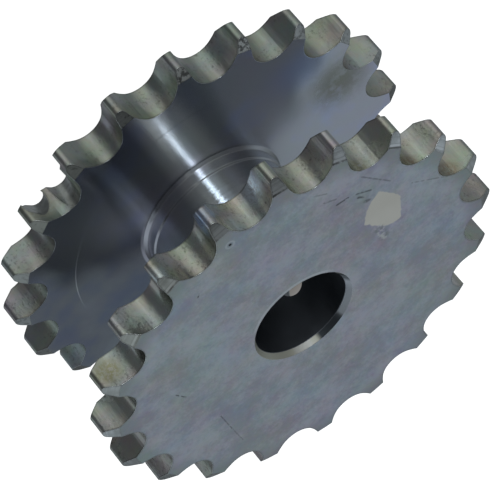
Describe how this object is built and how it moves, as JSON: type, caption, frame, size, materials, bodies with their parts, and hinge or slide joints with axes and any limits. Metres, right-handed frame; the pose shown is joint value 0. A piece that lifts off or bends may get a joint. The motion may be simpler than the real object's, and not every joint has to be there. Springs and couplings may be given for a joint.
{
  "type": "double-row chain sprocket",
  "caption": "Double-row chain sprocket: bevelled rows of teeth stand apart on a slim hub with a plain chamfered bore and a radial set screw hole.",
  "frame": {"origin": "on the bore's axis, in the plane of the lower row's outer face", "axes": "+Z along the bore from the lower row to the upper row; +X through the tip of a tooth in both rows"},
  "size_m": [0.0864, 0.0864, 0.0376],
  "materials": {
    "turned_steel": "bare turned steel, satin, with oil stains, scratches and grease"
  },
  "bodies": {
    "root": {"sprocket": "turned_steel"}
  },
  "joints": []
}
